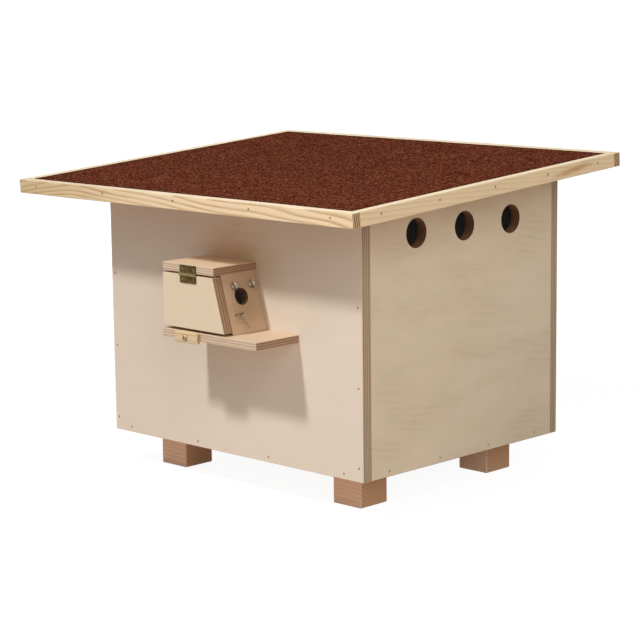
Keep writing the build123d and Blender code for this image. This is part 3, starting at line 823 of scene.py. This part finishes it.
def built(name, build):
    """Mesh from a bmesh that build fills."""
    mesh = bpy.data.meshes.new(name)
    work = bmesh.new()
    build(work)
    bmesh.ops.recalc_face_normals(work, faces=work.faces)
    work.to_mesh(mesh)
    work.free()
    return mesh


def carved(mesh, cutter):
    """A closed mesh with another closed mesh cut out of it."""
    things = [added(source.name, source) for source in (mesh, cutter)]
    cut = things[0].modifiers.new("cut", "BOOLEAN")
    cut.operation = "DIFFERENCE"
    cut.object = things[1]
    graph = bpy.context.evaluated_depsgraph_get()
    result = bpy.data.meshes.new_from_object(things[0].evaluated_get(graph))
    for thing in things:
        bpy.data.objects.remove(thing)
    return result


def mesh_piece(name, node, body, material, build, cutters=()):
    """Piece on a body that stands for a CAD node: the mesh that build fills, less its cutters."""
    mesh = built(name, build)
    for cutter in cutters:
        mesh = carved(mesh, built(f"{name}_cutter", cutter))
    mesh.materials.append(material)
    shade(mesh, SHARP_MADE)
    piece = added(name, mesh)
    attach(piece, body)
    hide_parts(node)
    return piece


def circle(work, centre, side, other, radius, sides):
    """Ring of points about a centre, in the plane of two directions."""
    angles = [2 * pi * k / sides for k in range(sides)]
    return [work.verts.new(centre + (side * cos(a) + other * sin(a)) * radius) for a in angles]


def bridge(work, rings):
    """Faces from each ring of points to the next. A ring may be a single point."""
    for first, second in zip(rings, rings[1:]):
        sides = max(len(first), len(second))
        for k in range(sides):
            n = (k + 1) % sides
            corners = [first[k % len(first)], first[n % len(first)]]
            corners += [second[n % len(second)], second[k % len(second)]]
            work.faces.new(list(dict.fromkeys(corners)))


def tube(work, points, radius, sides):
    """Closed round tube through points, its rings carried along without twist."""
    last = len(points) - 1
    tangents = [(points[min(i + 1, last)] - points[max(i - 1, 0)]).normalized() for i in range(last + 1)]
    side = tangents[0].orthogonal().normalized()
    rings = []
    for point, tangent in zip(points, tangents):
        side = (side - tangent * side.dot(tangent)).normalized()
        rings.append(circle(work, point, side, tangent.cross(side), radius, sides))
    bridge(work, rings)
    work.faces.new(list(reversed(rings[0])))
    work.faces.new(rings[-1])


def rounded(points, bend, steps=6):
    """A route of straight runs with each corner turned in a smooth bend."""
    out = [points[0]]
    for before, corner, after in zip(points, points[1:], points[2:]):
        entry = corner + (before - corner).normalized() * min(bend, (before - corner).length / 2)
        leave = corner + (after - corner).normalized() * min(bend, (after - corner).length / 2)
        for i in range(steps + 1):
            t = i / steps
            out.append(entry * (1 - t) ** 2 + corner * 2 * t * (1 - t) + leave * t ** 2)
    return out + [points[-1]]


def lathe(work, centre, axis, profile, sides):
    """Turned solid about an axis: profile is (radius, height) from the tip to the top's middle."""
    side = axis.orthogonal().normalized()
    other = axis.cross(side)
    rings = []
    for radius, height in profile:
        level = centre + axis * height
        rings.append(circle(work, level, side, other, radius, sides) if radius else [work.verts.new(level)])
    bridge(work, rings)


def islands(node):
    """Separate solids of a CAD node in the order of its mesh, each as the list of its points."""
    work = bmesh.new()
    work.from_mesh(cad_mesh(node))
    bmesh.ops.remove_doubles(work, verts=work.verts, dist=SAME_POINT)
    left = set(work.verts)
    found = []
    for first in work.verts:
        if first not in left:
            continue
        left.remove(first)
        queue = [first]
        group = []
        while queue:
            vert = queue.pop()
            group.append(vert.co.copy())
            for edge in vert.link_edges:
                other = edge.other_vert(vert)
                if other in left:
                    left.remove(other)
                    queue.append(other)
        found.append(group)
    work.free()
    return found


def middle_of(points):
    """Mean of some points."""
    return sum(points, Vector()) / len(points)


def head_of(points, outward):
    """Middle of a fastener's head and its radius, from its points and the way that it faces."""
    top = max(p.dot(outward) for p in points)
    rim = [p for p in points if top - p.dot(outward) < SAME_LEVEL]
    middle = middle_of(rim)
    return middle, max((p - middle).length for p in rim)


def slot_screw(work, middle, outward, radius, sides, turn):
    """Countersunk screw head with a sawn slot, on a short shank."""
    depth = radius * SLOT_DEPTH
    taper = radius * SLOT_TAPER
    shank = radius * SLOT_SHANK
    tip = radius * SLOT_LENGTH
    top = middle + outward * SLOT_LIFT
    side = outward.orthogonal().normalized()
    side.rotate(Matrix.Rotation(turn, 3, outward))
    other = outward.cross(side)
    start = asin(SLOT_HALF)
    steps = sides // 2
    angles = [start + (pi - 2 * start) * k / steps for k in range(steps + 1)]
    for sign in (-1, 1):
        ways = [side * cos(a) + other * (sign * sin(a)) for a in angles]
        rim = [work.verts.new(top + way * radius) for way in ways]
        low = [work.verts.new(top + way * taper - outward * depth) for way in ways]
        work.faces.new(rim)
        bridge(work, (rim, low))
    profile = ((0, -tip), (shank, -tip), (shank, -radius), (taper, -depth), (0, -depth))
    lathe(work, top, outward, profile, sides)


def pan_screw(work, middle, outward, radius, height, depth, sides):
    """Domed screw head on a shank."""
    shank = radius * DOME_SHANK
    angles = [pi / 2 * i / DOME_STEPS for i in range(DOME_STEPS)]
    dome = [(radius * cos(a), height * (DOME_RIM + (1 - DOME_RIM) * sin(a))) for a in angles]
    profile = [(0, -depth), (shank, -depth), (shank, 0), (radius, 0)] + dome + [(0, height)]
    lathe(work, middle, outward, profile, sides)


def cross_bar(work, middle, outward, along, radius, height):
    """Bar of a cross recess in a screw head, drawn in towards its floor."""
    arm = radius * CROSS_ARM
    half = radius * CROSS_HALF
    cross = outward.cross(along)
    corners = [along * a + cross * b for a, b in ((-arm, -half), (arm, -half), (arm, half), (-arm, half))]
    low = [work.verts.new(middle + c * CROSS_TAPER + outward * height * CROSS_FLOOR) for c in corners]
    high = [work.verts.new(middle + c + outward * height * CROSS_TOP) for c in corners]
    work.faces.new(high)
    work.faces.new(list(reversed(low)))
    bridge(work, (low, high))


class NESTBOX_OT_boards(bpy.types.Operator):
    """Finishes every plywood board"""

    bl_idname = "nestbox.boards"
    bl_label = "Plywood boards"

    def execute(self, context):
        sizes = context.scene.nest_box_sizes
        for i, (node, *finish) in enumerate(BOARDS):
            dress(node, plywood_material(node, *finish, seed=BOARD_SEED * (i + 1)))
        # Paints warm shade onto the front just above the porch's roof.
        low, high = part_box("porch_roof")
        above_porch = Vector((low.lerp(high, sizes.painted_shade_place).x, high.y, high.z))
        stain_or_painted_light(cad_mesh("front_panel").materials[0], above_porch, sizes.painted_shade_reach, "painted_shade_tint")
        return {"FINISHED"}


class NESTBOX_OT_battens(bpy.types.Operator):
    """Finishes the roof's pine battens and the cleats under it"""

    bl_idname = "nestbox.battens"
    bl_label = "Pine battens"

    def execute(self, context):
        sizes = context.scene.nest_box_sizes
        for node, grain, early, figure, run_out, pith in BATTENS:
            values = {**PINE, "Run-out": run_out, "Figure": figure, **SWERVES.get(node, {})}
            wood = softwood_material(f"pine_{node}", node, grain, early, "pine_late", sizes.pine_ring, pith,
                                     values)
            dress(node, wood)
        # Darkens the front batten towards its left end.
        left_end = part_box("batten_front")[0]
        stain_or_painted_light(cad_mesh("batten_front").materials[0], left_end, sizes.dark_end_reach, "pine_dark_end")

        # The streak of resin lies on the right batten's outer face, on the line between its ends' middles
        bar = cad_mesh("batten_right")
        front, rear = (middle_of([v.co for v in bar.vertices if v.co.y * way > 0]) for way in (-1, 1))
        streak = front.lerp(rear, sizes.resin_place)
        streak.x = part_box("batten_right")[1].x
        stain_or_painted_light(bar.materials[0], streak, sizes.resin_reach, "resin", sizes.resin_tilt)
        return {"FINISHED"}


class NESTBOX_OT_feet(bpy.types.Operator):
    """Finishes the four feet"""

    bl_idname = "nestbox.feet"
    bl_label = "Feet"

    def execute(self, context):
        ring = context.scene.nest_box_sizes.foot_ring
        for node, pith in FEET:
            wood = softwood_material(f"larch_{node}", node, X_AXIS, "foot_early", "foot_late", ring, pith,
                                     LARCH)
            dress(node, wood)
        return {"FINISHED"}


class NESTBOX_OT_felt(bpy.types.Operator):
    """Finishes the roof felt"""

    bl_idname = "nestbox.felt"
    bl_label = "Roof felt"

    def execute(self, context):
        dress("roof_felt", felt_material(context.scene.nest_box_sizes))
        return {"FINISHED"}


class NESTBOX_OT_gauze(bpy.types.Operator):
    """Weaves the gauze behind the vents"""

    bl_idname = "nestbox.gauze"
    bl_label = "Vent gauze"

    def execute(self, context):
        sizes = context.scene.nest_box_sizes
        material = gauze_material()
        for side in ("right", "left"):
            node = f"vent_mesh_{side}"
            low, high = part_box(node)
            mesh_piece(f"gauze_{side}", node, "base", material,
                       lambda work: self.weave(work, (low + high) / 2, high - low, sizes))
        return {"FINISHED"}

    def weave(self, work, middle, span, sizes):
        """Wires both ways in the plane of Y and Z, each over and under the ones that it crosses."""
        pitch = sizes.gauze_pitch
        radius = sizes.gauze_wire / 2
        for line, run, lift in ((Y_AXIS, Z_AXIS, radius), (Z_AXIS, Y_AXIS, -radius)):
            count, turns = (int(2 * (span.dot(way) / 2 - radius) / pitch) for way in (line, run))
            for i in range(count + 1):
                start = middle + line * ((i - count / 2) * pitch)
                points = []
                for j in range(2 * turns + 1):
                    over = (-1) ** i * cos(pi * j / 2) * lift
                    points.append(start + run * ((j - turns) * pitch / 2) + X_AXIS * over)
                tube(work, points, radius, GAUZE_SIDES)


class NESTBOX_OT_nails(bpy.types.Operator):
    """Finishes nails, staples and the screws that hold feet, porch and cleats"""

    bl_idname = "nestbox.nails"
    bl_label = "Nails and screws"

    def execute(self, context):
        for name, nodes in FASTENERS.items():
            for node in nodes:
                dress(node, metal(name))
        return {"FINISHED"}


class NESTBOX_OT_hinge(bpy.types.Operator):
    """Finishes the brass hinge and cuts its screw heads"""

    bl_idname = "nestbox.hinge"
    bl_label = "Hinge"

    def execute(self, context):
        sizes = context.scene.nest_box_sizes
        brass = metal("aged_brass")
        # Paints a highlight along the knuckles, round the pin.
        stain_or_painted_light(brass, joint_place("door_hinge"), sizes.hinge_highlight_reach, "brass_painted_highlight", blend="MIX")
        for node in ("hinge_upper_leaf", "hinge_lower_leaf", "hinge_pin"):
            dress(node, brass)
        for node, body in (("hinge_upper_screws", "base"), ("hinge_lower_screws", "door")):
            mesh_piece(f"{node}_slotted", node, body, metal("dull_brass"),
                       lambda work: self.cut_heads(work, islands(node), sizes.round_sides))
        return {"FINISHED"}

    def cut_heads(self, work, screws, sides):
        """A slotted head for each screw, each slot turned on from the one before."""
        for i, points in enumerate(screws):
            middle, radius = head_of(points, OUTWARD)
            slot_screw(work, middle, OUTWARD, radius, sides, SLOT_TURN + SLOT_STEP * i)


class NESTBOX_OT_latch(bpy.types.Operator):
    """Finishes the turn latch and its screw"""

    bl_idname = "nestbox.latch"
    bl_label = "Turn latch"

    def execute(self, context):
        sizes = context.scene.nest_box_sizes
        wood = softwood_material("latch_wood", "turn_latch", X_AXIS, "latch_early", "latch_late",
                                 sizes.foot_ring, LATCH_PITH, LATCH_WOOD)
        dress("turn_latch", wood)
        low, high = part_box("latch_screw")
        pivot = joint_place("latch_turn")
        button_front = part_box("turn_latch")[0].y
        radius = (high.x - low.x) / 2
        height = button_front - low.y
        depth = high.y - button_front
        seat = Vector((pivot.x, button_front, pivot.z))

        def turn(work):
            pan_screw(work, seat, OUTWARD, radius, height, depth, sizes.round_sides)

        def recess(along):
            return lambda work: cross_bar(work, seat, OUTWARD, along, radius, height)

        mesh_piece("latch_screw_domed", "latch_screw", "base", metal("yellow_zinc"), turn,
                   [recess(along) for along in (X_AXIS, Z_AXIS)])
        return {"FINISHED"}


class NESTBOX_OT_flap(bpy.types.Operator):
    """Finishes the clear flap, and bends its screw eyes and prop wire"""

    bl_idname = "nestbox.flap"
    bl_label = "Moth flap"

    def execute(self, context):
        sizes = context.scene.nest_box_sizes
        pivot = joint_place("flap_swing")
        wire_sides = sizes.round_sides // 2
        out = broad_normal("moth_flap")
        if out.x < 0:
            out.negate()
        up = out.cross(Y_AXIS).normalized()
        if up.z < 0:
            up.negate()
        eyes = [self.eye_route(points, pivot, out, up, sizes) for points in islands("flap_eyes")]
        wire = rounded(self.wire_route(pivot, out, up, sizes.prop_wire / 2), sizes.prop_wire)

        def bend_eyes(work):
            for route in eyes:
                tube(work, route, sizes.eye_wire / 2, wire_sides)

        mesh_piece("screw_eyes", "flap_eyes", "base", metal("zinc_steel"), bend_eyes)
        plate = mesh_piece("clear_flap", "moth_flap", "flap", acrylic_material(),
                           lambda work: work.from_mesh(cad_mesh("moth_flap")))
        self.dress_edges(plate.data, out, up, sizes.flap_margin)
        mesh_piece("prop_wire", "flap_wire", "flap", metal("yellow_zinc"),
                   lambda work: tube(work, wire, sizes.prop_wire / 2, wire_sides))
        return {"FINISHED"}

    def eye_route(self, points, pivot, out, up, sizes):
        """Middle line of a screw eye's wire: a shank from the wall, then a ring with a mouth."""
        radius = sizes.eye_wire / 2
        centre = Vector((pivot.x, middle_of(points).y, pivot.z))
        depths = [(p - centre).dot(out) for p in points]
        ring = max(depths) - radius
        shank = [centre + out * min(depths), centre - out * (ring + radius / 2)]
        sweep = 2 * pi - sizes.eye_mouth
        steps = 2 * sizes.round_sides
        turns = [pi + sweep * i / steps for i in range(steps + 1)]
        return shank + [centre + (out * cos(a) + up * sin(a)) * ring for a in turns]

    def dress_edges(self, mesh, out, up, margin):
        """Frosts the flap's sawn outline, and gives the walls of its holes a painted brown shade."""
        mesh.materials.append(frosted_or_shaded_material("frosted_acrylic", "acrylic_edge", EDGE_COVER))
        mesh.materials.append(frosted_or_shaded_material("drilled_acrylic", "acrylic_bore_shade", BORE_COVER))
        rims = [[v.co.dot(axis) for v in mesh.vertices] for axis in (Y_AXIS, up)]
        for face in mesh.polygons:
            is_flat_side = abs(face.normal.dot(out)) > 0.7
            if is_flat_side:
                continue
            here = (face.center.dot(Y_AXIS), face.center.dot(up))
            inset = min(min(at - min(rim), max(rim) - at) for at, rim in zip(here, rims))
            face.material_index = 1 if inset < margin else 2

    def wire_route(self, pivot, out, up, radius):
        """Corners of the prop wire, from its CAD piece: in by one hole, back by the other, then a tail."""
        points = [v.co - pivot for v in cad_mesh("flap_wire").vertices]
        places = [Vector((p.dot(Y_AXIS), p.dot(up), p.dot(out))) for p in points]
        front = max(p.z for p in places)
        start = middle_of([p for p in places if front - p.z < SAME_LEVEL])
        back = min(p.z for p in places) + radius
        left = min(p.x for p in places) + radius
        bend = Vector((left, start.y, -back))
        far = max((p - bend).length for p in places)
        tail = middle_of([p for p in places if far - (p - bend).length < 5 * SAME_LEVEL])
        corners = (start, Vector((start.x, start.y, back)), Vector((left, start.y, back)), bend, tail)
        return [pivot + Y_AXIS * c.x + up * c.y + out * c.z for c in corners]


class NESTBOX_OT_studio(bpy.types.Operator):
    """Sets up floor, light and camera"""

    bl_idname = "nestbox.studio"
    bl_label = "Studio"

    def execute(self, context):
        scene = context.scene
        studio = scene.nest_box_studio
        scene.view_settings.view_transform = "Standard"
        self.lay_floor(studio)
        self.hang_lamps(studio)
        scene.world = self.pale_sky(studio)
        scene.camera = self.aim_camera(studio)
        return {"FINISHED"}

    def lay_floor(self, studio):
        """Pale floor under the feet."""
        half = studio.floor_side / 2
        corners = [(x * half, y * half, 0) for x, y in ((-1, -1), (1, -1), (1, 1), (-1, 1))]
        mesh = bpy.data.meshes.new("floor")
        mesh.from_pydata(corners, [], [(0, 1, 2, 3)])
        mesh.materials.append(floor_material(studio))
        added("floor", mesh)

    def hang_lamps(self, studio):
        """A key lamp that is as bright near as far, and soft lights on the right and behind."""
        key = bpy.data.lights.new("key", "POINT")
        key.energy = studio.key_power
        key.shadow_soft_size = studio.key_radius
        key.color = studio.key_colour
        key.use_nodes = True
        tree = key.node_tree
        even = put(tree, "ShaderNodeLightFalloff", {"Strength": 1.0})
        feed(tree, node_of(tree, "EMISSION"), {"Strength": even.outputs["Constant"]})
        added("key", key).location = studio.key_place

        for name in ("fill", "rear"):
            soft = bpy.data.lights.new(name, "AREA")
            soft.energy = getattr(studio, f"{name}_power")
            soft.size = studio.fill_side
            lamp = added(name, soft)
            lamp.location = getattr(studio, f"{name}_place")
            aim = (cad_low + cad_high) / 2 - lamp.location
            lamp.rotation_mode = "QUATERNION"
            lamp.rotation_quaternion = aim.to_track_quat("-Z", "Y")

    def pale_sky(self, studio):
        """Dim light from all round, from a sky that is seen as white."""
        world = bpy.data.worlds.new("studio")
        world.use_nodes = True
        tree = world.node_tree
        tree.nodes.clear()
        seen = seen_directly(tree)
        dim = studio.sky_strength
        sky = put(tree, "ShaderNodeBackground", {
            "Color": blended(tree, seen, rgba(studio.sky_colour), WHITE),
            "Strength": maths(tree, "MULTIPLY_ADD", seen, 1.0 - dim, dim),
        })
        put(tree, "ShaderNodeOutputWorld", {"Surface": sky.outputs[0]})
        return world

    def aim_camera(self, studio):
        """Camera in front and to the right of the part, looking slightly down."""
        camera = bpy.data.cameras.new("camera")
        camera.lens = studio.lens
        camera.sensor_width = SENSOR
        turn = Matrix.Rotation(studio.camera_heading, 4, "Z")
        turn = turn @ Matrix.Rotation(pi / 2 - studio.camera_dip, 4, "X")
        turn = turn @ Matrix.Rotation(-studio.camera_roll, 4, "Z")
        eye = added("camera", camera)
        eye.matrix_world = Matrix.Translation(studio.camera_place) @ turn
        return eye


class NESTBOX_PT_panel(bpy.types.Panel):
    """Lists the steps that dress the nest box, and its settings"""

    bl_label = "Nest box"
    bl_idname = "NESTBOX_PT_panel"
    bl_space_type = "VIEW_3D"
    bl_region_type = "UI"
    bl_category = "Nest box"

    def draw(self, context):
        for operator in OPERATORS:
            self.layout.operator(operator.bl_idname)
        scene = context.scene
        for group in (scene.nest_box_sizes, scene.nest_box_colours, scene.nest_box_studio):
            box = self.layout.box()
            for name in group.__annotations__:
                box.prop(group, name)


OPERATORS = (
    NESTBOX_OT_boards,
    NESTBOX_OT_battens,
    NESTBOX_OT_feet,
    NESTBOX_OT_felt,
    NESTBOX_OT_gauze,
    NESTBOX_OT_nails,
    NESTBOX_OT_hinge,
    NESTBOX_OT_latch,
    NESTBOX_OT_flap,
    NESTBOX_OT_studio,
)
CLASSES = (NestBoxSizes, NestBoxColours, NestBoxStudio) + OPERATORS + (NESTBOX_PT_panel,)


def register():
    """Registers the classes and hangs the settings on the scene."""
    for cls in CLASSES:
        bpy.utils.register_class(cls)
    bpy.types.Scene.nest_box_sizes = PointerProperty(type=NestBoxSizes)
    bpy.types.Scene.nest_box_colours = PointerProperty(type=NestBoxColours)
    bpy.types.Scene.nest_box_studio = PointerProperty(type=NestBoxStudio)


def unregister():
    """Takes the settings and classes away again."""
    del bpy.types.Scene.nest_box_studio
    del bpy.types.Scene.nest_box_colours
    del bpy.types.Scene.nest_box_sizes
    for cls in reversed(CLASSES):
        bpy.utils.unregister_class(cls)


def main():
    """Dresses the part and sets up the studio."""
    register()
    bpy.ops.nestbox.boards()
    bpy.ops.nestbox.battens()
    bpy.ops.nestbox.feet()
    bpy.ops.nestbox.felt()
    bpy.ops.nestbox.gauze()
    bpy.ops.nestbox.nails()
    bpy.ops.nestbox.hinge()
    bpy.ops.nestbox.latch()
    bpy.ops.nestbox.flap()
    bpy.ops.nestbox.studio()


if __name__ == "__main__":
    main()
